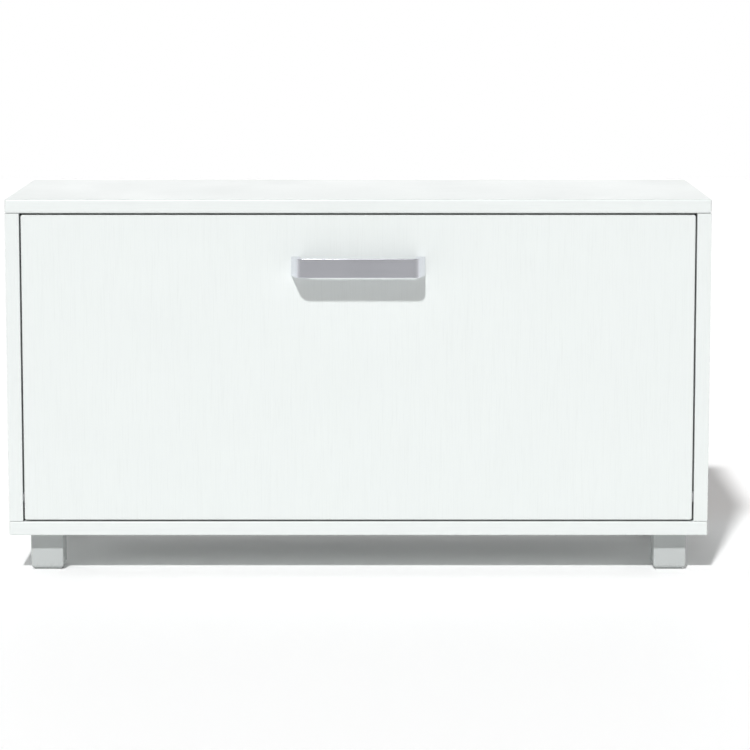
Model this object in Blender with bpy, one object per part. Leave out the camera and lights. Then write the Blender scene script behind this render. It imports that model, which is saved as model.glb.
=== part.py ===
"""Low entryway bench with one tilt-out shoe flap.

Metres, +Z up. The origin is on the floor, under the middle of the whole bench.
The front faces -Y and +X is on the right of somebody who stands in front of it.
The flap, its handle and the shoe tray behind it swing about one axis along X.
"""
import math

import bmesh
import bpy
from mathutils import Matrix, Vector

# ---------------------------------------------------------------- driving dimensions
WIDTH = 0.800               # outside width of the carcass
HEIGHT = 0.430              # floor to seat
DEPTH = 0.300               # carcass, front face to back face
BOARD = 0.016               # melamine board that the carcass and the flap are made of
FOOT_HEIGHT = 0.044         # floor to underside of the carcass
REVEAL = 0.002              # open gap around the inset flap
GAP = 0.0003                # clearance between pieces that touch
EDGE_ROUND = 0.0012         # rounding of an edge-banded board
FLAP_CORNER = 0.002         # corner radius of the flap, seen from the front

HANDLE_OUT = 0.030          # how far the handle stands out
HANDLE_HEIGHT = 0.0216
HANDLE_BASE_HALF = 0.0762   # half the width where it meets the flap
HANDLE_SIDE_ANGLE = math.radians(12.0)   # its ends lean in towards the front
HANDLE_LEAN = math.radians(6.0)   # its front leans back a little towards the top
HANDLE_LEG = 0.010          # thickness of a leg at the flap
HANDLE_BAR = 0.0045         # thickness of the bar that the hand holds
HANDLE_CORNER = 0.010       # outer corner radius seen from above
HANDLE_CENTRE_Z = 0.3542

FOOT_WIDTH = 0.037
FOOT_DEPTH = 0.040
FOOT_SIDE_INSET = 0.0225
FOOT_FRONT_INSET = 0.0198
FOOT_TAPER_HEIGHT = 0.0047  # tapered lower end of a foot
FOOT_TAPER = 0.0018
GLIDE_HEIGHT = 0.0014
GLIDE_INSET = 0.0035        # from the sides of a foot to its glide
GLIDE_PLUG = 0.009          # length of the plug on a glide

BACK_THICKNESS = 0.003
BACK_INSET = 0.003          # from the rear edge of the carcass to the back panel
GROOVE_DEPTH = 0.006
RAIL_HEIGHT = 0.080

PIVOT_ABOVE_EDGE = 0.025    # pivot pin above the lower edge of the flap
OPEN_ANGLE = math.radians(55.0)
TRAY_SLOPE = math.radians(22.0)
TRAY_BOARD = 0.010
TRAY_DEPTH = 0.268
UPPER_TRAY_DEPTH = 0.150
UPPER_TRAY_RISE = 0.143
FENCE_HEIGHT = 0.058
BRACKET_PLATE = 0.003
BRACKET_CLEARANCE = 0.003   # side panel to swing bracket
BRACKET_FLANGE = 0.018
RIB_DEPTH = 0.007
RIB = 0.0022
STOP_RADIUS = 0.120         # stop peg from the pivot axis
STOP_ANGLE = math.radians(80.5)
PEG_RADIUS = 0.0025
PEG_COLLAR = 0.0045         # radius of the collar that keeps a bracket off the side panel
PEG_HEAD = 0.005
SLOT_PLAY = 0.0005

CAM_RADIUS = 0.0075
CAM_DEPTH = 0.0125
CAM_FROM_EDGE = 0.034
CAM_SLOT_DEPTH = 0.0022     # slot for the screwdriver
CAM_SLOT_HALF_LENGTH = 0.0045
CAM_SLOT_HALF_WIDTH = 0.0007
CAM_FRONT_INSET = 0.040
CAM_REAR_INSET = 0.045
BOLT_CHANNEL = 0.004
BOLT_HEAD_RADIUS = 0.0032
BOLT_THREAD = 0.0105        # length of a bolt's thread inside the top or the bottom panel
BOLT_THREAD_RADIUS = 0.003
DOWEL_RADIUS = 0.004
DOWEL_HOLD = 0.010          # length of a dowel in the side panel, twice that in the rail

PIN_RADIUS = 0.003
PIN_IN_FLAP = 0.020
PIN_REACH = 0.0105          # how far a pin stands out of the edge of the flap
BUSH_RADIUS = 0.005
BUSH_LENGTH = 0.0097
BUSH_FLANGE = 0.0012        # thickness of the flange
BUSH_FLANGE_RADIUS = 0.007
PEG_HOLD = 0.010            # length of a stop peg inside the side panel

CATCH_WIDTH = 0.028
CATCH_DEPTH = 0.018
CATCH_HEIGHT = 0.013
CATCH_EAR = 0.010
EAR_THICKNESS = 0.003
STRIKE = 0.0012             # thickness of the strike plate
STUD_RADIUS = 0.002

SCREW_RADIUS = 0.002        # shank of a foot screw or a handle screw
SMALL_SCREW_RADIUS = 0.0015  # shank of a bracket screw or a catch screw
SCREW_HEAD_RADIUS = 0.004
FOOT_SCREW_HOLD = 0.012     # length of a foot screw inside the bottom panel
SMALL_SCREW_HOLD = 0.010    # length of a small screw inside a board
HANDLE_SCREW_HOLD = 0.0115  # length of a handle screw inside the leg
STUD_HOLD = 0.008           # length of the strike plate's stud inside the flap
FOOT_WEB = 0.014            # solid top of a foot, which its screw goes through
FOOT_BORE = 0.006           # radius of the bore below it

OVERCUT = 0.002             # how far outside a face a cutter starts
END_PLAY = 0.0005           # room past the end of a screw, pin or peg in its blind hole
ROUND_STEPS = 16            # sides of a round piece or bore
SMALL_STEPS = 12            # sides of a screw, a bolt or a screw hole
CORNER_STEPS = 4            # facets of the flap's rounded corner

# ---------------------------------------------------------------- places worked out from them
FRONT = -(DEPTH + HANDLE_OUT) / 2 + HANDLE_OUT
REAR = FRONT + DEPTH
SIDE_X = WIDTH / 2
INNER_X = SIDE_X - BOARD
FLOOR_Z = FOOT_HEIGHT + BOARD            # top face of the bottom panel
CEILING_Z = HEIGHT - BOARD               # lower face of the top panel
FLAP_BACK = FRONT + BOARD
FLAP_X = INNER_X - REVEAL
FLAP_LOW = FLOOR_Z + REVEAL
FLAP_HIGH = CEILING_Z - REVEAL
BACK_REAR = REAR - BACK_INSET
BACK_FRONT = BACK_REAR - BACK_THICKNESS
PIVOT = Vector((0.0, FRONT + BOARD / 2, FLAP_LOW + PIVOT_ABOVE_EDGE))
PLATE_OUT = INNER_X - BRACKET_CLEARANCE
PLATE_IN = PLATE_OUT - BRACKET_PLATE
FLANGE_BACK = FLAP_BACK + GAP + BRACKET_PLATE
STOP_Y = PIVOT.y + STOP_RADIUS * math.cos(STOP_ANGLE)
STOP_Z = PIVOT.z + STOP_RADIUS * math.sin(STOP_ANGLE)
CAM_YS = {"front": FRONT + CAM_FRONT_INSET, "rear": REAR - CAM_REAR_INSET}
HANDLE_SCREW_X = HANDLE_BASE_HALF - HANDLE_LEG / 2
FOOT_X = SIDE_X - FOOT_SIDE_INSET - FOOT_WIDTH / 2
FOOT_YS = {
    "front": FRONT + FOOT_FRONT_INSET + FOOT_DEPTH / 2,
    "rear": REAR - FOOT_FRONT_INSET - FOOT_DEPTH / 2,
}
STRIKE_FRONT = FLAP_BACK + GAP
STRIKE_BACK = STRIKE_FRONT + STRIKE
CATCH_FRONT = STRIKE_BACK + GAP * 2
CATCH_TOP = CEILING_Z - GAP
CATCH_SCREW_X = (CATCH_WIDTH + CATCH_EAR) / 2
CATCH_SCREW_Y = CATCH_FRONT + CATCH_DEPTH / 2
STRIKE_Z = CATCH_TOP - CATCH_HEIGHT / 2
BRACKET_SCREW_X = PLATE_IN - BRACKET_FLANGE / 2 - 0.002
BRACKET_SCREW_ZS = (PIVOT.z + 0.045, PIVOT.z + 0.255)
RAIL_REAR = BACK_FRONT - GAP
RAIL_FRONT = RAIL_REAR - BOARD
RAIL_LOW = CEILING_Z - RAIL_HEIGHT
RAIL_MIDDLE_Y = RAIL_FRONT + BOARD / 2
RAIL_MIDDLE_Z = RAIL_LOW + RAIL_HEIGHT / 2
SIDES = {"left": -1, "right": 1}

# ---------------------------------------------------------------- finishes: colour, roughness, metallic
WHITE_BOARD = ((0.86, 0.88, 0.87), 0.45, 0.0)
HARDBOARD = ((0.80, 0.80, 0.78), 0.70, 0.0)
SATIN_SILVER = ((0.46, 0.47, 0.50), 0.38, 0.9)
SILVER_GREY = ((0.58, 0.60, 0.60), 0.50, 0.1)
PALE_GLIDE = ((0.50, 0.52, 0.52), 0.60, 0.0)
ZINC_STEEL = ((0.60, 0.60, 0.58), 0.35, 1.0)
DIE_CAST = ((0.50, 0.50, 0.48), 0.50, 1.0)
WHITE_PLASTIC = ((0.80, 0.80, 0.78), 0.40, 0.0)
GREY_NYLON = ((0.35, 0.36, 0.37), 0.55, 0.0)
DARK_MAGNET = ((0.06, 0.06, 0.07), 0.60, 0.3)
BEECH = ((0.62, 0.44, 0.27), 0.60, 0.0)


# ---------------------------------------------------------------- shape helpers
def add_box(bm, low, high, frame=None):
    """Add one closed box between two corners, in world axes or in a turned frame."""
    low, high = Vector(low), Vector(high)
    shape = Matrix.Translation((low + high) / 2) @ Matrix.Diagonal((*(high - low), 1.0))
    bmesh.ops.create_cube(bm, size=1.0, matrix=(frame or Matrix()) @ shape)


def add_turned(bm, start, direction, profile, steps=ROUND_STEPS):
    """Spin (distance along, radius) points about an axis that leaves start in a direction."""
    turn = Vector(direction).to_track_quat("Z", "Y").to_matrix().to_4x4()
    frame = Matrix.Translation(start) @ turn
    ring = [bm.verts.new(frame @ Vector((radius, 0.0, along))) for along, radius in profile]
    edges = [bm.edges.new(pair) for pair in zip(ring, ring[1:])]
    axis = frame.to_3x3() @ Vector((0.0, 0.0, 1.0))
    bmesh.ops.spin(
        bm, geom=ring + edges, cent=start, axis=axis, angle=2 * math.pi, steps=steps)
    bmesh.ops.remove_doubles(bm, verts=bm.verts, dist=1e-6)


def add_rod(bm, start, end, radius, steps=ROUND_STEPS):
    """Add one closed cylinder between two points."""
    length = (Vector(end) - Vector(start)).length
    profile = [(0.0, 0.0), (0.0, radius), (length, radius), (length, 0.0)]
    add_turned(bm, start, Vector(end) - Vector(start), profile, steps)


def add_bore(bm, face, direction, depth, radius, steps=SMALL_STEPS):
    """Add a cutter for a blind bore that goes into a face along a direction."""
    direction = Vector(direction)
    start = Vector(face) - direction * OVERCUT
    add_rod(bm, start, start + direction * (OVERCUT + depth + END_PLAY), radius, steps)


def pin_profile(length, radius, chamfer):
    """Profile of a plain pin with both ends chamfered."""
    return [
        (0.0, 0.0), (0.0, radius - chamfer), (chamfer, radius),
        (length - chamfer, radius), (length, radius - chamfer), (length, 0.0)]


def screw_profile(head_radius, head_height, shank_radius, length):
    """Profile of a pan-head screw. Distance 0 is the underside of its head."""
    point = 1.5 * shank_radius
    return [
        (-head_height, 0.0), (-head_height, 0.7 * head_radius), (-0.7 * head_height, head_radius),
        (0.0, head_radius), (0.0, shank_radius), (length - point, shank_radius),
        (length, 0.3 * shank_radius), (length, 0.0)]


def add_prism(bm, outline, low, high, axis):
    """Extrude a closed outline: (y, z) points along X, or (x, y) points along Z."""
    if axis == "X":
        corners = [Vector((low, y, z)) for y, z in outline]
        travel = Vector((high - low, 0.0, 0.0))
    else:
        corners = [Vector((x, y, low)) for x, y in outline]
        travel = Vector((0.0, 0.0, high - low))
    face = bm.faces.new([bm.verts.new(corner) for corner in corners])
    grown = bmesh.ops.extrude_face_region(bm, geom=[face], use_keep_orig=True)
    moved = [item for item in grown["geom"] if isinstance(item, bmesh.types.BMVert)]
    bmesh.ops.translate(bm, verts=moved, vec=travel)


def arc(centre, radius, start, end, steps):
    """Points on an arc, from one angle to another."""
    angles = [start + (end - start) * step / steps for step in range(steps + 1)]
    return [(centre[0] + radius * math.cos(a), centre[1] + radius * math.sin(a)) for a in angles]


def fillet(before, corner, after, radius, steps=6):
    """Points that round one corner of an outline."""
    before, corner, after = Vector(before), Vector(corner), Vector(after)
    back, ahead = (before - corner).normalized(), (after - corner).normalized()
    half = back.angle(ahead) / 2
    centre = corner + (back + ahead).normalized() * radius / math.sin(half)
    first = corner + back * radius / math.tan(half) - centre
    last = corner + ahead * radius / math.tan(half) - centre
    sweep = first.angle_signed(last)
    return [
        tuple(centre + Matrix.Rotation(-sweep * step / steps, 2) @ first)
        for step in range(steps + 1)]


def to_mesh(name, bm, origin):
    """Turn a bmesh drawn in world axes into a mesh around its own origin."""
    bmesh.ops.translate(bm, verts=bm.verts, vec=-Vector(origin))
    bmesh.ops.recalc_face_normals(bm, faces=bm.faces)
    mesh = bpy.data.meshes.new(name)
    bm.to_mesh(mesh)
    bm.free()
    return mesh


def make_piece(name, bm, finish, origin, hinge=None, smooth=False):
    """One sub-part: its mesh, its place, its parent and its own material."""
    mesh = to_mesh(name, bm, origin)
    if smooth:
        mesh.shade_smooth()
        mesh.set_sharp_from_angle(angle=math.radians(35.0))
    piece = bpy.data.objects.new(name, mesh)
    bpy.context.scene.collection.objects.link(piece)
    if hinge is None:
        piece.location = origin
    else:
        piece.parent = hinge
        piece.location = Vector(origin) - hinge.location
    colour, roughness, metallic = finish
    material = bpy.data.materials.new(name)
    material.use_nodes = True
    shader = material.node_tree.nodes["Principled BSDF"]
    shader.inputs["Base Color"].default_value = (*colour, 1.0)
    shader.inputs["Roughness"].default_value = roughness
    shader.inputs["Metallic"].default_value = metallic
    mesh.materials.append(material)
    return piece


def round_edges(piece, width, segments=2):
    """Round every sharp edge of a piece."""
    bevel = piece.modifiers.new("edge_round", "BEVEL")
    bevel.width = width
    bevel.segments = segments
    bevel.limit_method = "ANGLE"
    bevel.angle_limit = math.radians(35.0)


def combine(piece, bm, operation, name):
    """Cut a hidden tool shape out of a piece, or join it to the piece."""
    tool = bpy.data.objects.new(name, to_mesh(name, bm, (0.0, 0.0, 0.0)))
    bpy.context.scene.collection.objects.link(tool)
    tool.hide_render = True
    tool.display_type = "WIRE"
    boolean = piece.modifiers.new(name, "BOOLEAN")
    boolean.operation = operation
    boolean.solver = "EXACT"
    boolean.object = tool


def make_board(
        name, low, high, finish=WHITE_BOARD, hinge=None, origin=None, edge=EDGE_ROUND, corner=0.0):
    """A flat board between two corners, with its edges and, if asked for, its front corners rounded."""
    bm = bmesh.new()
    add_box(bm, low, high)
    if corner > 0.0:
        depth_edges = [line for line in bm.edges if abs(line.verts[0].co.y - line.verts[1].co.y) > GAP]
        bmesh.ops.bevel(
            bm, geom=depth_edges, offset=corner, segments=CORNER_STEPS, profile=0.5, affect="EDGES")
    middle = (Vector(low) + Vector(high)) / 2
    board = make_piece(name, bm, finish, middle if origin is None else origin, hinge)
    round_edges(board, edge)
    return board


# ---------------------------------------------------------------- carcass
def add_back_groove(bm):
    """The groove that holds the back panel, as one slab a gap larger than the panel."""
    reach = GROOVE_DEPTH + GAP
    add_box(
        bm, (-INNER_X - reach, BACK_FRONT - GAP, FLOOR_Z - reach),
        (INNER_X + reach, BACK_REAR + GAP, CEILING_Z + reach))


def cam_places():
    """Every cam fitting: side, end of the side panel, row, cam centre and direction of its bolt."""
    for side, sign in SIDES.items():
        for end, face_z, up in (("top", CEILING_Z, 1), ("bottom", FLOOR_Z, -1)):
            for row, y in CAM_YS.items():
                yield side, sign, end, row, Vector((sign * INNER_X, y, face_z - up * CAM_FROM_EDGE)), up


def bolt_place(sign, y, up):
    """Where a cam bolt crosses the joint between a side panel and the panel it meets."""
    face_z = CEILING_Z if up > 0 else FLOOR_Z
    return Vector((sign * (INNER_X + BOARD / 2), y, face_z))


def add_bolt_sockets(bm, up):
    """Blind holes for the threaded ends of the four cam bolts in the top or the bottom panel."""
    for _side, sign, _end, _row, cam, cam_up in cam_places():
        if cam_up == up:
            add_bore(
                bm, bolt_place(sign, cam.y, up), (0.0, 0.0, up), BOLT_THREAD, BOLT_THREAD_RADIUS + GAP)


def make_top_and_bottom():
    """The full-width top and bottom panels."""
    top = make_board("top_panel", (-SIDE_X, FRONT, CEILING_Z), (SIDE_X, REAR, HEIGHT), edge=0.0018)
    holes = bmesh.new()
    add_bolt_sockets(holes, 1)
    for sign in SIDES.values():
        add_bore(
            holes, (sign * CATCH_SCREW_X, CATCH_SCREW_Y, CEILING_Z), (0.0, 0.0, 1.0),
            SMALL_SCREW_HOLD, SMALL_SCREW_RADIUS + GAP)
    combine(top, holes, "DIFFERENCE", "top_panel_holes")
    groove = bmesh.new()
    add_back_groove(groove)
    combine(top, groove, "DIFFERENCE", "top_panel_groove")

    bottom = make_board("bottom_panel", (-SIDE_X, FRONT, FOOT_HEIGHT), (SIDE_X, REAR, FLOOR_Z))
    holes = bmesh.new()
    add_bolt_sockets(holes, -1)
    for sign in SIDES.values():
        for y in FOOT_YS.values():
            add_bore(
                holes, (sign * FOOT_X, y, FOOT_HEIGHT), (0.0, 0.0, 1.0),
                FOOT_SCREW_HOLD, SCREW_RADIUS + GAP)
    combine(bottom, holes, "DIFFERENCE", "bottom_panel_holes")
    groove = bmesh.new()
    add_back_groove(groove)
    combine(bottom, groove, "DIFFERENCE", "bottom_panel_groove")


def make_side_panel(side, sign):
    """A side panel, with its cam bores, pivot bore, stop peg bore, dowel bore and back groove."""
    near, far = sorted((sign * INNER_X, sign * SIDE_X))
    panel = make_board(
        side + "_side_panel", (near, FRONT, FLOOR_Z + GAP), (far, REAR, CEILING_Z - GAP),
        edge=0.0004)
    outward = Vector((sign, 0.0, 0.0))
    bores = [
        (PIVOT.y, PIVOT.z, BUSH_LENGTH, BUSH_RADIUS),
        (STOP_Y, STOP_Z, PEG_HOLD, PEG_RADIUS),
        (RAIL_MIDDLE_Y, RAIL_MIDDLE_Z, DOWEL_HOLD, DOWEL_RADIUS),
    ]
    for cam_side, _sign, _end, _row, cam, _up in cam_places():
        if cam_side == side:
            bores.append((cam.y, cam.z, CAM_DEPTH + GAP, CAM_RADIUS))
    holes = bmesh.new()
    for y, z, depth, radius in bores:
        add_bore(holes, (sign * INNER_X, y, z), outward, depth, radius + GAP, ROUND_STEPS)
    combine(panel, holes, "DIFFERENCE", side + "_side_panel_bores")
    channels = bmesh.new()
    for cam_side, _sign, _end, _row, cam, up in cam_places():
        if cam_side == side:
            start = bolt_place(sign, cam.y, up) + Vector((0.0, 0.0, up * OVERCUT))
            add_rod(channels, start, Vector((start.x, cam.y, cam.z)), BOLT_CHANNEL, SMALL_STEPS)
    combine(panel, channels, "DIFFERENCE", side + "_side_panel_channels")
    groove = bmesh.new()
    add_back_groove(groove)
    combine(panel, groove, "DIFFERENCE", side + "_side_panel_groove")


def make_back():
    """The thin back panel in its groove, and the rail in front of it under the top panel."""
    reach = GROOVE_DEPTH
    make_board(
        "back_panel", (-INNER_X - reach, BACK_FRONT, FLOOR_Z - reach),
        (INNER_X + reach, BACK_REAR, CEILING_Z + reach), HARDBOARD, edge=0.0003)
    rail = make_board(
        "rear_rail", (-INNER_X + GAP, RAIL_FRONT, RAIL_LOW), (INNER_X - GAP, RAIL_REAR, CEILING_Z - GAP))
    holes = bmesh.new()
    for side, sign in SIDES.items():
        joint = Vector((sign * INNER_X, RAIL_MIDDLE_Y, RAIL_MIDDLE_Z))
        outward = Vector((sign, 0.0, 0.0))
        add_bore(holes, joint, -outward, DOWEL_HOLD * 2, DOWEL_RADIUS + GAP, ROUND_STEPS)
        dowel = bmesh.new()
        add_turned(
            dowel, joint - outward * DOWEL_HOLD * 2, outward,
            pin_profile(DOWEL_HOLD * 3, DOWEL_RADIUS, 0.0008))
        make_piece("rail_dowel_" + side, dowel, BEECH, joint, smooth=True)
    combine(rail, holes, "DIFFERENCE", "rear_rail_bores")


def make_cam_fittings():
    """Cam nuts in the side panels, and the bolts that tie them to the top and bottom panels."""
    for side, sign, end, row, cam, up in cam_places():
        body = bmesh.new()
        chamfer = 0.0006
        profile = [
            (0.0, 0.0), (0.0, CAM_RADIUS - chamfer), (chamfer, CAM_RADIUS),
            (CAM_DEPTH, CAM_RADIUS), (CAM_DEPTH, 0.0)]
        face = cam + Vector((sign * GAP, 0.0, 0.0))
        add_turned(body, face, (sign, 0.0, 0.0), profile)
        label = "_".join((side, end, row))
        nut = make_piece("cam_nut_" + label, body, DIE_CAST, face, smooth=True)
        pocket = bmesh.new()
        middle = Vector((sign * (INNER_X + BOARD / 2), cam.y, cam.z))
        add_rod(
            pocket, middle - Vector((0.0, 0.0, up * 0.003)), middle + Vector((0.0, 0.0, up * 0.010)),
            BOLT_HEAD_RADIUS + GAP)
        combine(nut, pocket, "DIFFERENCE", "cam_pocket_" + label)
        drive = bmesh.new()
        near, far = sorted((cam.x - sign * OVERCUT, cam.x + sign * CAM_SLOT_DEPTH))
        add_box(
            drive, (near, cam.y - CAM_SLOT_HALF_LENGTH, cam.z - CAM_SLOT_HALF_WIDTH),
            (far, cam.y + CAM_SLOT_HALF_LENGTH, cam.z + CAM_SLOT_HALF_WIDTH))
        combine(nut, drive, "DIFFERENCE", "cam_slot_" + label)

        bolt = bmesh.new()
        joint = bolt_place(sign, cam.y, up)
        thread, reach = BOLT_THREAD + GAP, CAM_FROM_EDGE + 0.0015
        collar, neck, chamfer = 0.0036, 0.0022, 0.0008
        profile = [
            (-thread, 0.0), (-thread, neck), (-thread + chamfer, BOLT_THREAD_RADIUS),
            (0.0, BOLT_THREAD_RADIUS), (0.0, collar), (0.0018, collar), (0.0018, neck),
            (reach - 0.0036, neck), (reach - 0.0030, BOLT_HEAD_RADIUS),
            (reach, BOLT_HEAD_RADIUS), (reach, 0.0)]
        start = joint - Vector((0.0, 0.0, up * GAP))
        add_turned(bolt, start, (0.0, 0.0, -up), profile, SMALL_STEPS)
        make_piece("cam_bolt_" + label, bolt, ZINC_STEEL, joint, smooth=True)


# ---------------------------------------------------------------- feet
def make_foot(row, side, x, y):
    """A square foot with a tapered end, the glide plugged into it and the screw that holds it."""
    label = row + "_" + side
    web_z = FOOT_HEIGHT - FOOT_WEB
    half_x, half_y = FOOT_WIDTH / 2, FOOT_DEPTH / 2
    block = bmesh.new()
    add_box(
        block, (x - half_x, y - half_y, FOOT_TAPER_HEIGHT), (x + half_x, y + half_y, FOOT_HEIGHT - GAP))
    underside = min(block.faces, key=lambda face: face.calc_center_median().z)
    grown = bmesh.ops.extrude_face_region(block, geom=[underside])
    bmesh.ops.delete(block, geom=[underside], context="FACES_ONLY")
    lower = [item for item in grown["geom"] if isinstance(item, bmesh.types.BMVert)]
    bmesh.ops.translate(block, verts=lower, vec=(0.0, 0.0, GLIDE_HEIGHT + GAP - FOOT_TAPER_HEIGHT))
    shrink = Vector((1 - FOOT_TAPER / half_x, 1 - FOOT_TAPER / half_y, 1.0))
    bmesh.ops.scale(block, verts=lower, vec=shrink, space=Matrix.Translation((-x, -y, 0.0)))
    foot = make_piece("foot_" + label, block, SILVER_GREY, (x, y, FOOT_HEIGHT))
    round_edges(foot, 0.0012)
    bore = bmesh.new()
    hole = SCREW_RADIUS + GAP
    profile = [
        (0.0, 0.0), (0.0, FOOT_BORE), (web_z, FOOT_BORE), (web_z, hole),
        (FOOT_HEIGHT + OVERCUT, hole), (FOOT_HEIGHT + OVERCUT, 0.0)]
    add_turned(bore, (x, y, 0.0), (0.0, 0.0, 1.0), profile)
    combine(foot, bore, "DIFFERENCE", "foot_bore_" + label)

    pad = bmesh.new()
    pad_x, pad_y = half_x - GLIDE_INSET, half_y - GLIDE_INSET
    add_box(pad, (x - pad_x, y - pad_y, 0.0), (x + pad_x, y + pad_y, GLIDE_HEIGHT))
    glide = make_piece("glide_" + label, pad, PALE_GLIDE, (x, y, 0.0))
    round_edges(glide, 0.0004, 1)
    plug = bmesh.new()
    add_rod(plug, (x, y, GLIDE_HEIGHT / 2), (x, y, GLIDE_HEIGHT + GLIDE_PLUG), FOOT_BORE - GAP)
    combine(glide, plug, "UNION", "glide_plug_" + label)

    screw = bmesh.new()
    head_z = web_z - GAP
    profile = screw_profile(SCREW_HEAD_RADIUS, 0.003, SCREW_RADIUS, FOOT_WEB + FOOT_SCREW_HOLD)
    add_turned(screw, (x, y, head_z), (0.0, 0.0, 1.0), profile, SMALL_STEPS)
    make_piece("foot_screw_" + label, screw, ZINC_STEEL, (x, y, head_z), smooth=True)


# ---------------------------------------------------------------- flap and handle
def make_flap(hinge):
    """The inset flap, bored for its pivot pins, handle screws, bracket screws and strike plate."""
    flap = make_board(
        "flap_panel", (-FLAP_X, FRONT, FLAP_LOW), (FLAP_X, FLAP_BACK, FLAP_HIGH),
        hinge=hinge, origin=PIVOT, edge=0.0008, corner=FLAP_CORNER)
    holes = bmesh.new()
    forward = Vector((0.0, -1.0, 0.0))
    for sign in SIDES.values():
        add_bore(
            holes, (sign * FLAP_X, PIVOT.y, PIVOT.z), (-sign, 0.0, 0.0), PIN_IN_FLAP, PIN_RADIUS + GAP,
            ROUND_STEPS)
        add_bore(
            holes, (sign * HANDLE_SCREW_X, FLAP_BACK, HANDLE_CENTRE_Z), forward, BOARD + OVERCUT,
            SCREW_RADIUS + GAP)
        for z in BRACKET_SCREW_ZS:
            add_bore(
                holes, (sign * BRACKET_SCREW_X, FLAP_BACK, z), forward, SMALL_SCREW_HOLD,
                SMALL_SCREW_RADIUS + GAP)
    add_bore(holes, (0.0, FLAP_BACK, STRIKE_Z), forward, STUD_HOLD, STUD_RADIUS + GAP)
    combine(flap, holes, "DIFFERENCE", "flap_panel_bores")


def handle_outline():
    """The bow handle seen from above, as (x, y) points: a bar between two slanted legs."""
    base_y = FRONT - GAP
    nose_y = FRONT - HANDLE_OUT
    bar_y = nose_y + HANDLE_BAR
    lean = math.tan(HANDLE_SIDE_ANGLE)
    outer_base = HANDLE_BASE_HALF
    outer_nose = outer_base - lean * HANDLE_OUT
    inner_base = outer_base - HANDLE_LEG
    inner_bar = inner_base - 0.5 * lean * (base_y - bar_y)
    outside = [(-outer_base, base_y), (-outer_nose, nose_y), (outer_nose, nose_y), (outer_base, base_y)]
    inside = [(inner_base, base_y), (inner_bar, bar_y), (-inner_bar, bar_y), (-inner_base, base_y)]
    points = [outside[0]]
    points += fillet(*outside[0:3], HANDLE_CORNER)
    points += fillet(*outside[1:4], HANDLE_CORNER)
    points += [outside[3], inside[0]]
    points += fillet(*inside[0:3], HANDLE_CORNER - HANDLE_BAR)
    points += fillet(*inside[1:4], HANDLE_CORNER - HANDLE_BAR)
    points.append(inside[3])
    return points


def make_handle(hinge):
    """The bow handle, whose outer face leans back, and the screws that come through the flap."""
    low, high = HANDLE_CENTRE_Z - HANDLE_HEIGHT / 2, HANDLE_CENTRE_Z + HANDLE_HEIGHT / 2
    bow = bmesh.new()
    add_prism(bow, handle_outline(), low, high, "Z")
    for vert in bow.verts:
        away = vert.co.y < FRONT - HANDLE_CORNER / 2
        front = vert.co.y < FRONT - HANDLE_OUT + HANDLE_BAR / 2
        if away and (front or abs(vert.co.x) > HANDLE_BASE_HALF - HANDLE_LEG):
            vert.co.y += (vert.co.z - low) * math.tan(HANDLE_LEAN)
    handle = make_piece("handle", bow, SATIN_SILVER, PIVOT, hinge, smooth=True)
    round_edges(handle, 0.0006)
    holes = bmesh.new()
    for side, sign in SIDES.items():
        x = sign * HANDLE_SCREW_X
        add_bore(
            holes, (x, FRONT, HANDLE_CENTRE_Z), (0.0, -1.0, 0.0), HANDLE_SCREW_HOLD, SCREW_RADIUS + GAP)
        screw = bmesh.new()
        profile = screw_profile(SCREW_HEAD_RADIUS, 0.0026, SCREW_RADIUS, BOARD + HANDLE_SCREW_HOLD)
        start = Vector((x, FLAP_BACK + GAP, HANDLE_CENTRE_Z))
        add_turned(screw, start, (0.0, -1.0, 0.0), profile, SMALL_STEPS)
        make_piece("handle_screw_" + side, screw, ZINC_STEEL, PIVOT, hinge, smooth=True)
    combine(handle, holes, "DIFFERENCE", "handle_bores")


# ---------------------------------------------------------------- pivots and stops
def make_pivots(hinge):
    """Steel pins in the edges of the flap, turning in flanged bushes in the side panels."""
    for side, sign in SIDES.items():
        pin = bmesh.new()
        start = Vector((sign * (FLAP_X - PIN_IN_FLAP), PIVOT.y, PIVOT.z))
        profile = pin_profile(PIN_IN_FLAP + PIN_REACH, PIN_RADIUS, 0.0005)
        add_turned(pin, start, (sign, 0.0, 0.0), profile)
        make_piece("pivot_pin_" + side, pin, ZINC_STEEL, PIVOT, hinge, smooth=True)

        bush = bmesh.new()
        flange_face = Vector((sign * (INNER_X - GAP - BUSH_FLANGE), PIVOT.y, PIVOT.z))
        length = BUSH_FLANGE + GAP + BUSH_LENGTH
        bore = PIN_RADIUS + GAP
        profile = [
            (0.0, bore), (0.0, BUSH_FLANGE_RADIUS), (BUSH_FLANGE, BUSH_FLANGE_RADIUS),
            (BUSH_FLANGE, BUSH_RADIUS), (length, BUSH_RADIUS), (length, bore), (0.0, bore)]
        add_turned(bush, flange_face, (sign, 0.0, 0.0), profile)
        make_piece("pivot_bush_" + side, bush, GREY_NYLON, flange_face, smooth=True)

        peg = bmesh.new()
        start = Vector((sign * (INNER_X + PEG_HOLD), STOP_Y, STOP_Z))
        collar = PEG_HOLD + GAP
        plate = PEG_HOLD + BRACKET_CLEARANCE
        head = plate + BRACKET_PLATE + GAP
        profile = [
            (0.0, 0.0), (0.0, PEG_RADIUS), (collar, PEG_RADIUS), (collar, PEG_COLLAR),
            (plate - GAP, PEG_COLLAR), (plate - GAP, PEG_RADIUS), (head, PEG_RADIUS), (head, PEG_HEAD),
            (head + 0.0020, PEG_HEAD), (head + 0.0026, PEG_HEAD - 0.0010), (head + 0.0026, 0.0)]
        add_turned(peg, start, (-sign, 0.0, 0.0), profile, SMALL_STEPS)
        make_piece("stop_peg_" + side, peg, ZINC_STEEL, start, smooth=True)


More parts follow.
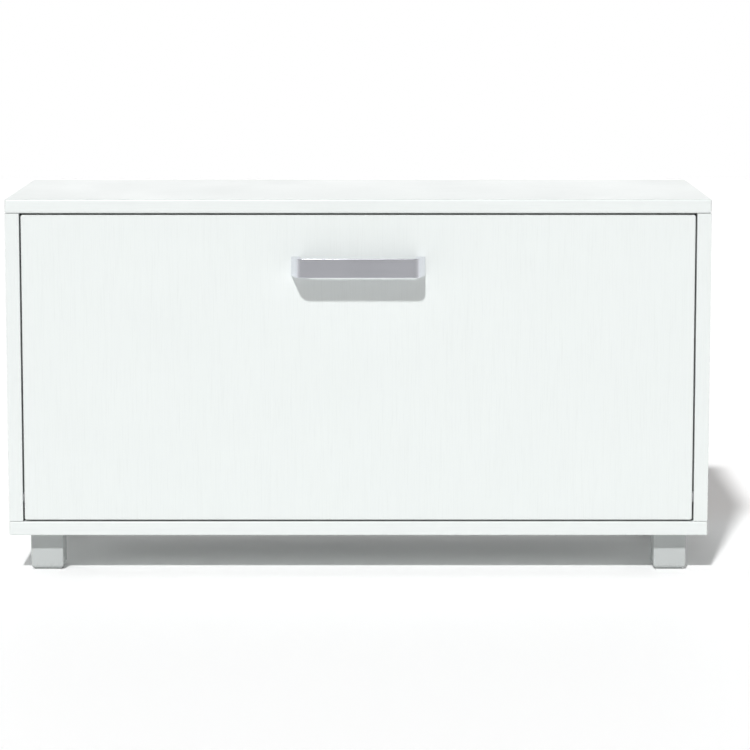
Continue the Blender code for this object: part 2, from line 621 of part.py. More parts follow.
# ---------------------------------------------------------------- shoe tray
def tray_frame(rise):
    """Axes of a sloping shoe board: local Y runs up the slope and local Z out of the board."""
    start = Vector((0.0, FLANGE_BACK + GAP, PIVOT.z - 0.008 + rise))
    return Matrix.Translation(start) @ Matrix.Rotation(TRAY_SLOPE, 4, "X")


def bracket_outline():
    """The fan-shaped plate of a swing bracket, as (y, z) points."""
    frame = tray_frame(0.0)
    low = frame @ Vector((0.0, TRAY_DEPTH + 0.004, -0.011))
    high = frame @ Vector((0.0, TRAY_DEPTH + 0.004, 0.075))
    centre = (PIVOT.y, PIVOT.z)
    spoke = Vector((high.y - PIVOT.y, high.z - PIVOT.z))
    start = math.atan2(spoke.y, spoke.x)
    rim = arc(centre, spoke.length, start, math.radians(78.0), 32)
    front = FLAP_BACK + GAP
    return [(front, PIVOT.z - 0.020), (low.y, low.z), *rim, (front, rim[-1][1])]


def add_stop_slot(bm, low, high):
    """The curved slot that the stop peg runs in, as a cutter."""
    centre = (PIVOT.y, PIVOT.z)
    half = PEG_RADIUS + SLOT_PLAY
    closed, opened = STOP_ANGLE, STOP_ANGLE - OPEN_ANGLE
    ends = {angle: arc(centre, STOP_RADIUS, angle, angle, 1)[0] for angle in (closed, opened)}
    outline = arc(centre, STOP_RADIUS + half, opened, closed, 24)
    outline += arc(ends[closed], half, closed, closed + math.pi, 8)[1:-1]
    outline += arc(centre, STOP_RADIUS - half, closed, opened, 24)
    outline += arc(ends[opened], half, opened + math.pi, opened + 2 * math.pi, 8)[1:-1]
    add_prism(bm, outline, low, high, "X")


def make_bracket(side, sign, hinge):
    """A moulded swing bracket: plate, screw flange, and ribs that hold the ends of the boards."""
    inner, outer = sorted((sign * PLATE_IN, sign * PLATE_OUT))
    plate = bmesh.new()
    add_prism(plate, bracket_outline(), inner, outer, "X")
    bracket = make_piece("swing_bracket_" + side, plate, WHITE_PLASTIC, PIVOT, hinge)

    flange = bmesh.new()
    rim_top = bracket_outline()[-1][1]
    edge = sorted((sign * (PLATE_OUT - 0.001), sign * (PLATE_IN - BRACKET_FLANGE)))
    add_box(flange, (edge[0], FLAP_BACK + GAP, PIVOT.z - 0.019), (edge[1], FLANGE_BACK, rim_top - 0.001))
    combine(bracket, flange, "UNION", "bracket_flange_" + side)

    ribs = bmesh.new()
    reach = sorted((sign * (PLATE_IN + 0.001), sign * (PLATE_IN - RIB_DEPTH)))
    lower, upper = tray_frame(0.0), tray_frame(UPPER_TRAY_RISE)
    fence_front = TRAY_DEPTH - TRAY_BOARD
    top = TRAY_BOARD + GAP
    rib_boxes = [
        (lower, 0.006, TRAY_DEPTH, -GAP - RIB, -GAP),
        (lower, 0.008, fence_front - RIB * 2, top, top + RIB),
        (lower, fence_front - GAP - RIB, fence_front - GAP, top, top + FENCE_HEIGHT),
        (lower, TRAY_DEPTH + GAP, TRAY_DEPTH + GAP + RIB, 0.0, top + FENCE_HEIGHT),
        (upper, 0.006, UPPER_TRAY_DEPTH, -GAP - RIB, -GAP),
        (upper, 0.008, UPPER_TRAY_DEPTH, top, top + RIB),
    ]
    for frame, near, far, under, over in rib_boxes:
        add_box(ribs, (reach[0], near, under), (reach[1], far, over), frame)
    combine(bracket, ribs, "UNION", "bracket_ribs_" + side)

    slot = bmesh.new()
    add_stop_slot(slot, inner - 0.001, outer + 0.001)
    for z in BRACKET_SCREW_ZS:
        x = sign * BRACKET_SCREW_X
        add_bore(slot, (x, FLANGE_BACK, z), (0.0, -1.0, 0.0), BRACKET_PLATE, SMALL_SCREW_RADIUS + GAP)
        screw = bmesh.new()
        profile = screw_profile(0.0035, 0.0022, SMALL_SCREW_RADIUS, BRACKET_PLATE + SMALL_SCREW_HOLD)
        add_turned(screw, (x, FLANGE_BACK + GAP, z), (0.0, -1.0, 0.0), profile, SMALL_STEPS)
        label = "upper" if z > HEIGHT / 2 else "lower"
        make_piece("bracket_screw_" + side + "_" + label, screw, ZINC_STEEL, PIVOT, hinge, smooth=True)
    combine(bracket, slot, "DIFFERENCE", "bracket_slot_" + side)


def make_tray_board(name, frame, near, far, low, high, hinge):
    """One board of the shoe tray, drawn along its slope."""
    bm = bmesh.new()
    half = PLATE_IN - GAP
    add_box(bm, (-half, near, low), (half, far, high), frame)
    board = make_piece(name, bm, WHITE_BOARD, PIVOT, hinge)
    round_edges(board, 0.0006)


def make_tray(hinge):
    """The swinging shoe tray: two brackets, two sloping boards and a fence behind the lower one."""
    for side, sign in SIDES.items():
        make_bracket(side, sign, hinge)
    lower, upper = tray_frame(0.0), tray_frame(UPPER_TRAY_RISE)
    start = TRAY_BOARD * math.tan(TRAY_SLOPE) + GAP
    fence_front = TRAY_DEPTH - TRAY_BOARD
    fence_low = TRAY_BOARD + GAP
    make_tray_board("lower_shoe_board", lower, start, TRAY_DEPTH, 0.0, TRAY_BOARD, hinge)
    make_tray_board("upper_shoe_board", upper, start, UPPER_TRAY_DEPTH, 0.0, TRAY_BOARD, hinge)
    make_tray_board(
        "shoe_fence", lower, fence_front, TRAY_DEPTH, fence_low, fence_low + FENCE_HEIGHT, hinge)


# ---------------------------------------------------------------- magnetic catch
def make_catch(hinge):
    """The magnetic catch under the top panel and the strike plate on the back of the flap."""
    half = CATCH_WIDTH / 2
    low = CATCH_TOP - CATCH_HEIGHT
    body = bmesh.new()
    add_box(body, (-half, CATCH_FRONT, low), (half, CATCH_FRONT + CATCH_DEPTH, CATCH_TOP))
    origin = Vector((0.0, CATCH_SCREW_Y, CATCH_TOP))
    catch = make_piece("catch_housing", body, WHITE_PLASTIC, origin)
    ears = bmesh.new()
    reach = half + CATCH_EAR
    add_box(
        ears, (-reach, CATCH_FRONT + 0.004, CATCH_TOP - EAR_THICKNESS),
        (reach, CATCH_FRONT + CATCH_DEPTH - 0.004, CATCH_TOP - 0.0002))
    combine(catch, ears, "UNION", "catch_ears")
    magnet_half, magnet_low, magnet_high = 0.010, low + 0.003, CATCH_TOP - 0.0035
    pocket = bmesh.new()
    add_box(
        pocket, (-magnet_half - GAP, CATCH_FRONT - OVERCUT, magnet_low - GAP),
        (magnet_half + GAP, CATCH_FRONT + 0.0103, magnet_high + GAP))
    for sign in SIDES.values():
        add_bore(
            pocket, (sign * CATCH_SCREW_X, CATCH_SCREW_Y, CATCH_TOP), (0.0, 0.0, -1.0), CATCH_HEIGHT,
            SMALL_SCREW_RADIUS + GAP)
    combine(catch, pocket, "DIFFERENCE", "catch_pocket")

    block = bmesh.new()
    add_box(
        block, (-magnet_half, STRIKE_BACK + GAP, magnet_low),
        (magnet_half, CATCH_FRONT + 0.010, magnet_high))
    magnet = make_piece("catch_magnet", block, DARK_MAGNET, (0.0, STRIKE_BACK + GAP, STRIKE_Z))
    round_edges(magnet, 0.0003, 1)

    for side, sign in SIDES.items():
        screw = bmesh.new()
        start = Vector((sign * CATCH_SCREW_X, CATCH_SCREW_Y, CATCH_TOP - EAR_THICKNESS - GAP))
        profile = screw_profile(0.0030, 0.0016, SMALL_SCREW_RADIUS, EAR_THICKNESS + SMALL_SCREW_HOLD)
        add_turned(screw, start, (0.0, 0.0, 1.0), profile, SMALL_STEPS)
        make_piece("catch_screw_" + side, screw, ZINC_STEEL, start, smooth=True)

    plate = bmesh.new()
    add_box(plate, (-0.012, STRIKE_FRONT, STRIKE_Z - 0.005), (0.012, STRIKE_BACK, STRIKE_Z + 0.005))
    strike = make_piece("strike_plate", plate, ZINC_STEEL, PIVOT, hinge)
    round_edges(strike, 0.0003, 1)
    stud = bmesh.new()
    add_rod(
        stud, (0.0, STRIKE_BACK - 0.0004, STRIKE_Z), (0.0, FLAP_BACK - STUD_HOLD, STRIKE_Z),
        STUD_RADIUS, SMALL_STEPS)
    combine(strike, stud, "UNION", "strike_stud")


# ---------------------------------------------------------------- the whole bench
def main():
    """Clear the scene and build every sub-part."""
    for thing in list(bpy.data.objects):
        bpy.data.objects.remove(thing, do_unlink=True)
    hinge = bpy.data.objects.new("flap_hinge", None)
    bpy.context.scene.collection.objects.link(hinge)
    hinge.location = PIVOT

    make_top_and_bottom()
    for side, sign in SIDES.items():
        make_side_panel(side, sign)
    make_back()
    make_cam_fittings()
    for row, y in FOOT_YS.items():
        for side, sign in SIDES.items():
            make_foot(row, side, sign * FOOT_X, y)
    make_flap(hinge)
    make_handle(hinge)
    make_pivots(hinge)
    make_tray(hinge)
    make_catch(hinge)


main()
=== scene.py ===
"""Looks of the entryway bench: materials, fine pieces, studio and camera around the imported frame."""
import math

import bmesh
import bpy
from mathutils import Matrix, Vector


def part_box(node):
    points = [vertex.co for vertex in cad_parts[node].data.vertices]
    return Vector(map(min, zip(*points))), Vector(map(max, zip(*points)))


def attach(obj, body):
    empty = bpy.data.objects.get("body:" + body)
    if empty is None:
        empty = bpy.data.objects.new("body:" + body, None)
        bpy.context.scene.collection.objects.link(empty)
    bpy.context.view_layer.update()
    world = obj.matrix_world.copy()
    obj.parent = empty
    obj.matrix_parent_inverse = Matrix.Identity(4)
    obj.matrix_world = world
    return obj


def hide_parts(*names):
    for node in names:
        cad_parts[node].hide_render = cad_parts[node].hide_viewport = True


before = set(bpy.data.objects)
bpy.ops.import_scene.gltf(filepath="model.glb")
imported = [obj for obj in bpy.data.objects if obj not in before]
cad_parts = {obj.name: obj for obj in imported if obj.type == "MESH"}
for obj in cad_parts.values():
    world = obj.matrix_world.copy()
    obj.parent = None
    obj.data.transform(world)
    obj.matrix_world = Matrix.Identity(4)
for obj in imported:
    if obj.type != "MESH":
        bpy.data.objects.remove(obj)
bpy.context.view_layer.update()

# ---------------------------------------------------------------- places read from the frame
CARCASS, FLAP = "carcass", "flap"
TOP_LOW, TOP_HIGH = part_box("top_panel")
FLAP_LOW, FLAP_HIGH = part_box("flap_panel")
BACK_LOW, BACK_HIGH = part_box("back_panel")
FRONT_Y, REAR_Y = TOP_LOW.y, TOP_HIGH.y
SIDE_X = TOP_HIGH.x
SEAT_Z = TOP_HIGH.z
BASE_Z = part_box("bottom_panel")[0].z

# ---------------------------------------------------------------- driving values
EDGE_BAND = 0.0008          # thickness of the edge band, so the place of its glue line
GLUE_LINE = 0.00014         # half the width of that line
WEAR_REACH = 0.0018         # how far in from an edge it is rubbed
HANDLE_BAR = 0.0045         # this and the next four are the CAD handle's own sizes
HANDLE_LEG = 0.010
HANDLE_SIDE_ANGLE = math.radians(12.0)
HANDLE_CORNER = 0.010
HANDLE_LEAN = math.radians(6.0)
HANDLE_EDGE = 0.0005        # radius of its fine edges
FILLET_STEPS = 12
THREAD_PITCH = 0.0013
THREAD_DEPTH = 0.68         # core of the thread, as a share of its crest
SCREW_NECK = 0.001          # plain shank between the head and the thread
SHANK_SHARE = 0.48          # shank of a screw, as a share of its head's radius
DOME_SHARE = 0.62           # height of the head, as a share of its radius
CROSS_REACH, CROSS_WIDTH = 0.52, 0.12       # of a cross arm from its middle, as shares of that radius
CROSS_TAPER = 0.62          # size of the cross at its floor, as a share of its top
CROSS_TOP, CROSS_FLOOR = 1.3, 0.25          # ends of its cutter, as shares of the head's height
DOME_STEPS = 6
SCREW_STEPS = 32
CROSS_TURN = 27.0           # degrees that a tightened screw's cross happens to be turned
HANDLE_SHARP_ANGLE = math.radians(30.0)
SCREW_SHARP_ANGLE = math.radians(40.0)
NODE_SHARP_ANGLE = math.radians(50.0)

WHITE = (0.706, 0.738, 0.728)
INSIDE_WHITE = (0.690, 0.712, 0.698)
GRIME = (0.42, 0.42, 0.40)
GLUE = (0.33, 0.33, 0.31)
CHIP_LIGHT = (0.48, 0.34, 0.20)
CHIP_DARK = (0.20, 0.12, 0.06)
# near black painted shade for the pits between chipboard flakes
CHIP_PIT_SHADE = (0.07, 0.045, 0.025)
FIBRE_LIGHT = (0.30, 0.19, 0.11)
FIBRE_DARK = (0.21, 0.125, 0.07)
SILVER = (0.81, 0.82, 0.875)
FOOT_GREY = (0.445, 0.466, 0.462)
ZINC = (0.62, 0.62, 0.60)
DIE_CAST = (0.46, 0.46, 0.45)
PLASTIC_WHITE = (0.78, 0.79, 0.77)
NYLON_GREY = (0.30, 0.31, 0.32)
MAGNET_BLACK = (0.045, 0.045, 0.05)
BEECH = (0.60, 0.42, 0.25)
BEECH_DARK = (0.45, 0.29, 0.15)


# ---------------------------------------------------------------- material helpers
class Finish:
    """Builds one procedural material around a Principled BSDF, in the object's own metres."""

    def __init__(self, name, roughness, metallic=0.0):
        self.material = bpy.data.materials.new(name)
        self.material.use_nodes = True
        self.tree = self.material.node_tree
        self.shader = self.tree.nodes["Principled BSDF"]
        self.shader.inputs["Roughness"].default_value = roughness
        self.shader.inputs["Metallic"].default_value = metallic
        self.place = self.add("ShaderNodeTexCoord").outputs["Object"]

    def add(self, kind, **settings):
        """A new node, with its settings."""
        node = self.tree.nodes.new(kind)
        for key, value in settings.items():
            setattr(node, key, value)
        return node

    def feed(self, socket, value):
        """Link an output to a socket, or set the socket to a constant."""
        if isinstance(value, bpy.types.NodeSocket):
            self.tree.links.new(value, socket)
        elif isinstance(value, tuple) and len(value) == 3 and socket.type == "RGBA":
            socket.default_value = (*value, 1.0)
        else:
            socket.default_value = value

    def stretched(self, stretch):
        """The object's coordinates, stretched by a factor along each axis."""
        mapping = self.add("ShaderNodeMapping")
        self.feed(mapping.inputs["Vector"], self.place)
        mapping.inputs["Scale"].default_value = stretch
        return mapping.outputs["Vector"]

    def noise(self, scale, detail=3.0, rough=0.5, stretch=(1.0, 1.0, 1.0), distortion=0.0):
        """Noise from 0 to 1, with so many features for each metre."""
        node = self.add("ShaderNodeTexNoise")
        self.feed(node.inputs["Vector"], self.stretched(stretch))
        node.inputs["Scale"].default_value = scale
        node.inputs["Detail"].default_value = detail
        node.inputs["Roughness"].default_value = rough
        node.inputs["Distortion"].default_value = distortion
        return node.outputs["Fac"]

    def cells(self, scale, stretch):
        """Voronoi cells, each in its own random colour, for chips."""
        node = self.add("ShaderNodeTexVoronoi")
        self.feed(node.inputs["Vector"], self.stretched(stretch))
        node.inputs["Scale"].default_value = scale
        return node.outputs["Color"]

    def fit(self, value, low, high, to_low=0.0, to_high=1.0, smooth=False):
        """Map a value from one range to another, held inside it."""
        node = self.add("ShaderNodeMapRange")
        node.interpolation_type = "SMOOTHSTEP" if smooth else "LINEAR"
        self.feed(node.inputs["Value"], value)
        for key, number in (
                ("From Min", low), ("From Max", high), ("To Min", to_low), ("To Max", to_high)):
            node.inputs[key].default_value = number
        return node.outputs["Result"]

    def math(self, operation, first, second=0.0):
        """One arithmetic node."""
        node = self.add("ShaderNodeMath", operation=operation)
        self.feed(node.inputs[0], first)
        self.feed(node.inputs[1], second)
        return node.outputs["Value"]

    def blend(self, factor, first, second):
        """A colour between two colours."""
        node = self.add("ShaderNodeMix", data_type="RGBA")
        self.feed(node.inputs["Factor"], factor)
        self.feed(node.inputs["A"], first)
        self.feed(node.inputs["B"], second)
        return node.outputs["Result"]

    def axis(self, name):
        """One coordinate of the object's place: X, Y or Z."""
        node = self.add("ShaderNodeSeparateXYZ")
        self.feed(node.inputs["Vector"], self.place)
        return node.outputs[name]

    def near(self, axis, position, reach):
        """1 on a plane across an axis, falling to 0 at a distance from it."""
        away = self.math("ABSOLUTE", self.math("SUBTRACT", self.axis(axis), position))
        return self.fit(away, 0.0, reach, 1.0, 0.0, smooth=True)

    def colour(self, value):
        self.feed(self.shader.inputs["Base Color"], value)

    def roughness(self, value):
        self.feed(self.shader.inputs["Roughness"], value)

    def bump(self, height, distance, strength):
        """Add relief of a height from 0 to 1 over a distance in metres."""
        node = self.add("ShaderNodeBump")
        node.inputs["Distance"].default_value = distance
        node.inputs["Strength"].default_value = strength
        self.feed(node.inputs["Height"], height)
        normal = self.shader.inputs["Normal"]
        if normal.is_linked:
            self.feed(node.inputs["Normal"], normal.links[0].from_socket)
        self.feed(normal, node.outputs["Normal"])


def shade(colour, share):
    """A darker tone of a colour."""
    return tuple(share * part for part in colour)


def worn_edges(finish, edges):
    """1 in the rubbed spots along some edges. An edge is where two planes meet."""
    along = None
    for first, second in edges:
        edge = finish.math(
            "MULTIPLY", finish.near(*first, WEAR_REACH), finish.near(*second, WEAR_REACH))
        along = edge if along is None else finish.math("MAXIMUM", along, edge)
    spots = finish.fit(finish.noise(240.0, 4.0, 0.7), 0.46, 0.62)
    return finish.math("MULTIPLY", along, spots)


def melamine(name, white, grain, glue_lines=(), raw_y=None, edges=()):
    """White melamine board: faint grain along X or Z, glue lines, worn edges and a raw rear edge."""
    finish = Finish(name, 0.42)
    lengthwise = (0.02, 1.0, 1.0) if grain == "X" else (1.0, 1.0, 0.02)
    fibre = finish.noise(260.0, 5.0, 0.62, lengthwise, 0.3)
    cloud = finish.fit(finish.noise(9.0, 4.0, 0.6), 0.3, 0.7)
    colour = finish.blend(cloud, white, shade(white, 0.987))
    streak = finish.fit(fibre, 0.32, 0.68)
    colour = finish.blend(finish.math("MULTIPLY", streak, 0.5), colour, shade(white, 0.975))
    pores = finish.fit(finish.noise(1300.0, 4.0, 0.65, lengthwise, 0.2), 0.5, 0.7)
    colour = finish.blend(finish.math("MULTIPLY", pores, 0.7), colour, shade(white, 0.93))
    groove = None
    for axis, position in glue_lines:
        line = finish.near(axis, position, GLUE_LINE)
        groove = line if groove is None else finish.math("MAXIMUM", groove, line)
    if groove is not None:
        colour = finish.blend(finish.math("MULTIPLY", groove, 0.75), colour, GLUE)
        finish.bump(finish.math("SUBTRACT", 1.0, groove), 0.00012, 0.6)
    smudge = finish.noise(5.0, 5.0, 0.65, distortion=0.4)
    wiped = finish.fit(finish.noise(60.0, 5.0, 0.7, (0.12, 1.0, 1.0), 0.6), 0.58, 0.66, 0.0, 0.05)
    rough = finish.math("ADD", finish.fit(smudge, 0.35, 0.68, 0.38, 0.47), wiped)
    if edges:
        rubbed = worn_edges(finish, edges)
        colour = finish.blend(finish.math("MULTIPLY", rubbed, 0.16), colour, GRIME)
        rough = finish.math("ADD", rough, finish.math("MULTIPLY", rubbed, 0.15))
    relief = pores
    if raw_y is not None:
        raw = finish.fit(finish.axis("Y"), raw_y - 0.00012, raw_y - 0.00006)
        chips, relief = chipboard(finish, grain)
        colour = finish.blend(raw, colour, chips)
        rough = finish.math("MAXIMUM", rough, finish.math("MULTIPLY", raw, 0.9))
        finish.bump(finish.math("MULTIPLY", raw, relief), 0.0005, 0.8)
    finish.colour(colour)
    finish.roughness(rough)
    # pores, or the chips under the coating, show faintly in the surface
    finish.bump(finish.math("SUBTRACT", fibre, relief), 0.00005, 0.4)
    peel = finish.noise(650.0, 2.0, 0.5)
    finish.bump(peel, 0.00003, 0.35)
    return finish.material


def chipboard(finish, grain_axis):
    """Colour and relief of a cut chipboard edge, with flakes lying along the board, and painted shade
    darkening the pits between them.
    """
    long_x = grain_axis == "X"
    stretch = (0.25, 1.0, 1.0) if long_x else (1.0, 1.0, 0.25)
    flakes = finish.cells(520.0, stretch)
    split = finish.add("ShaderNodeSeparateColor")
    finish.feed(split.inputs["Color"], flakes)
    tone = finish.math("ADD", finish.math("MULTIPLY", split.outputs["Red"], 0.7),
                       finish.math("MULTIPLY", finish.noise(1400.0, 4.0, 0.7, stretch), 0.3))
    # the pits are sunk in the relief and also coloured near black as painted shade
    shaded_pits = finish.fit(finish.noise(700.0, 4.0, 0.65, stretch), 0.36, 0.46, 1.0, 0.0)
    colour = finish.blend(tone, CHIP_DARK, CHIP_LIGHT)
    colour = finish.blend(shaded_pits, colour, CHIP_PIT_SHADE)
    return colour, finish.math("SUBTRACT", tone, shaded_pits)


def hardboard():
    """Thin hardboard: white lacquer on the inner face, brown pressed fibres on the rear face."""
    finish = Finish("hardboard_back", 0.6)
    middle = (BACK_LOW.y + BACK_HIGH.y) / 2
    bare = finish.fit(finish.axis("Y"), middle - 0.0001, middle + 0.0001)
    fibre = finish.noise(260.0, 8.0, 0.72, (1.0, 1.0, 1.0), 1.2)
    cloud = finish.noise(14.0, 4.0, 0.6)
    tone = finish.math("ADD", finish.math("MULTIPLY", fibre, 0.75), finish.math("MULTIPLY", cloud, 0.25))
    brown = finish.blend(finish.fit(tone, 0.35, 0.65), FIBRE_DARK, FIBRE_LIGHT)
    white = finish.blend(finish.fit(cloud, 0.3, 0.7), INSIDE_WHITE, shade(INSIDE_WHITE, 0.98))
    finish.colour(finish.blend(bare, white, brown))
    finish.roughness(finish.fit(bare, 0.0, 1.0, 0.5, 0.82))
    finish.bump(finish.math("MULTIPLY", bare, fibre), 0.0002, 0.6)
    weave = finish.noise(1100.0, 2.0)
    finish.bump(weave, 0.00003, 0.3)
    return finish.material


def brushed_metal(name, colour, rough, stretch, scratches):
    """Satin metal with fine lines along one direction, faint smears and dull spots."""
    finish = Finish(name, rough, 1.0)
    lines = finish.noise(220.0, 3.0, 0.6, stretch)
    cloud = finish.noise(40.0, 4.0, 0.6)
    finish.colour(finish.blend(finish.fit(cloud, 0.3, 0.7), colour, shade(colour, 0.94)))
    lined = finish.fit(lines, 0.3, 0.7, -0.01, 0.02)
    smeared = finish.fit(cloud, 0.3, 0.7, -0.01, 0.02)
    finish.roughness(finish.math("ADD", finish.math("ADD", lined, smeared), rough))
    finish.bump(lines, 0.00002, scratches)
    return finish.material


def cast_metal(name, colour, rough):
    """Bare die casting or zinc plate: grainy, with dull patches."""
    finish = Finish(name, rough, 1.0)
    grain = finish.noise(1800.0, 3.0, 0.6)
    patch = finish.noise(160.0, 4.0, 0.6)
    finish.colour(finish.blend(finish.fit(patch, 0.3, 0.7), colour, shade(colour, 0.86)))
    finish.roughness(finish.fit(patch, 0.3, 0.7, rough - 0.06, rough + 0.1))
    finish.bump(grain, 0.00004, 0.5)
    return finish.material


def moulded_plastic(name, colour, rough, grain_scale=1500.0, relief=0.00004, metallic=0.0, wear=None):
    """Moulded plastic: an even fine grain, slight colour drift, and scuffs low down if asked for."""
    finish = Finish(name, rough, metallic)
    drift = finish.noise(30.0, 3.0, 0.5)
    tone = finish.blend(finish.fit(drift, 0.3, 0.7), colour, shade(colour, 0.96))
    shine = finish.fit(drift, 0.3, 0.7, rough - 0.04, rough + 0.04)
    if wear is not None:
        low, high = wear
        height = finish.fit(finish.axis("Z"), low, high, 1.0, 0.0)
        rub = finish.fit(finish.noise(500.0, 6.0, 0.75, (1.0, 1.0, 0.3)), 0.5, 0.62)
        scuff = finish.math("MULTIPLY", height, rub)
        tone = finish.blend(finish.math("MULTIPLY", scuff, 0.5), tone, shade(colour, 0.72))
        shine = finish.math("ADD", shine, finish.math("MULTIPLY", scuff, 0.2))
    finish.colour(tone)
    finish.roughness(shine)
    grain = finish.noise(grain_scale, 2.0, 0.5)
    finish.bump(grain, relief, 0.5)
    return finish.material


def beech_wood():
    """Dowel wood: grain along X, with small dark rays."""
    finish = Finish("beech_dowel", 0.6)
    grain = finish.noise(300.0, 6.0, 0.6, (0.12, 1.0, 1.0), 0.5)
    finish.colour(finish.blend(finish.fit(grain, 0.35, 0.65), BEECH, BEECH_DARK))
    finish.bump(grain, 0.0001, 0.5)
    return finish.material


# ---------------------------------------------------------------- shape helpers
def fillet(before, corner, after, radius):
    """Points that round one corner of an outline."""
    before, corner, after = Vector(before), Vector(corner), Vector(after)
    back, ahead = (before - corner).normalized(), (after - corner).normalized()
    half = back.angle(ahead) / 2
    centre = corner + (back + ahead).normalized() * radius / math.sin(half)
    first = corner + back * radius / math.tan(half) - centre
    last = corner + ahead * radius / math.tan(half) - centre
    sweep = first.angle_signed(last)
    return [
        centre + Matrix.Rotation(-sweep * step / FILLET_STEPS, 2) @ first
        for step in range(FILLET_STEPS + 1)]


def new_piece(name, bm, material, body, smooth_angle):
    """An object made from a bmesh in row coordinates, riding on a body."""
    bmesh.ops.recalc_face_normals(bm, faces=bm.faces)
    mesh = bpy.data.meshes.new(name)
    bm.to_mesh(mesh)
    bm.free()
    mesh.shade_smooth()
    mesh.set_sharp_from_angle(angle=smooth_angle)
    mesh.materials.append(material)
    piece = bpy.data.objects.new(name, mesh)
    bpy.context.scene.collection.objects.link(piece)
    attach(piece, body)
    return piece


def soften(piece, width):
    """Round a piece's sharp edges with a bevel."""
    bevel = piece.modifiers.new("soft_edges", "BEVEL")
    bevel.width = width
    bevel.segments = 4
    bevel.limit_method = "ANGLE"
    bevel.angle_limit = math.radians(35.0)
    bevel.harden_normals = True


def extrude_outline(bm, outline, low, high):
    """Extrude a closed (x, y) outline from one height to another."""
    face = bm.faces.new([bm.verts.new((x, y, low)) for x, y in outline])
    grown = bmesh.ops.extrude_face_region(bm, geom=[face], use_keep_orig=True)
    moved = [item for item in grown["geom"] if isinstance(item, bmesh.types.BMVert)]
    bmesh.ops.translate(bm, verts=moved, vec=(0.0, 0.0, high - low))


# ---------------------------------------------------------------- pieces
def make_handle(material):
    """The bow handle, with finer rounded corners and edges than its CAD node."""
    low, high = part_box("handle")
    base, nose, half = high.y, low.y, high.x
    bar = nose + HANDLE_BAR
    lean = math.tan(HANDLE_SIDE_ANGLE)
    outer_nose = half - lean * (base - nose)
    inner = half - HANDLE_LEG
    inner_bar = inner - 0.5 * lean * (base - bar)
    outside = [(-half, base), (-outer_nose, nose), (outer_nose, nose), (half, base)]
    inside = [(inner, base), (inner_bar, bar), (-inner_bar, bar), (-inner, base)]
    outline = [outside[0]]
    outline += fillet(*outside[0:3], HANDLE_CORNER)
    outline += fillet(*outside[1:4], HANDLE_CORNER)
    outline += [outside[3], inside[0]]
    outline += fillet(*inside[0:3], HANDLE_CORNER - HANDLE_BAR)
    outline += fillet(*inside[1:4], HANDLE_CORNER - HANDLE_BAR)
    outline.append(inside[3])
    bm = bmesh.new()
    extrude_outline(bm, outline, low.z, high.z)
    for vert in bm.verts:
        away = vert.co.y < base - HANDLE_CORNER / 2
        front = vert.co.y < nose + HANDLE_BAR / 2
        if away and (front or abs(vert.co.x) > inner):
            vert.co.y += (vert.co.z - low.z) * math.tan(HANDLE_LEAN)
    handle = new_piece("bow_handle", bm, material, FLAP, HANDLE_SHARP_ANGLE)
    soften(handle, HANDLE_EDGE)
    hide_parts("handle")


def turn(bm, profile, steps):
    """Spin (radius, height) points about the Z axis into one closed skin."""
    ring = [bm.verts.new((radius, 0.0, height)) for radius, height in profile]
    edges = [bm.edges.new(pair) for pair in zip(ring, ring[1:])]
    bmesh.ops.spin(
        bm, geom=ring + edges, cent=(0.0, 0.0, 0.0), axis=(0.0, 0.0, 1.0), angle=2 * math.pi, steps=steps)
    bmesh.ops.remove_doubles(bm, verts=bm.verts, dist=1e-6)


def carve(piece, bm):
    """Cut a shape out of a piece, and keep the result as its mesh."""
    mesh = bpy.data.meshes.new("cutter")
    bm.to_mesh(mesh)
    bm.free()
    cutter = bpy.data.objects.new("cutter", mesh)
    bpy.context.scene.collection.objects.link(cutter)
    cut = piece.modifiers.new("carve", "BOOLEAN")
    cut.operation = "DIFFERENCE"
    cut.object = cutter
    cut.use_self = True                # because the arms of a cross overlap
    seen = piece.evaluated_get(bpy.context.evaluated_depsgraph_get())
    piece.data = bpy.data.meshes.new_from_object(seen)
    piece.modifiers.clear()
    bpy.data.objects.remove(cutter)


def thread(shank, length):
    """Profile points of a threaded shank from under its head down to its point."""
    tip = 3.0 * shank
    points = [(shank, -SCREW_NECK)]
    turns = int((length - SCREW_NECK - tip) / THREAD_PITCH)
    for turn_number in range(turns):
        start = -SCREW_NECK - turn_number * THREAD_PITCH
        points.append((shank, start - 0.35 * THREAD_PITCH))
        points.append((shank * THREAD_DEPTH, start - 0.50 * THREAD_PITCH))
        points.append((shank * THREAD_DEPTH, start - 0.85 * THREAD_PITCH))
        points.append((shank, start - THREAD_PITCH))
    return [*points, (shank * THREAD_DEPTH, -length + tip), (0.15 * shank, -length), (0.0, -length)]


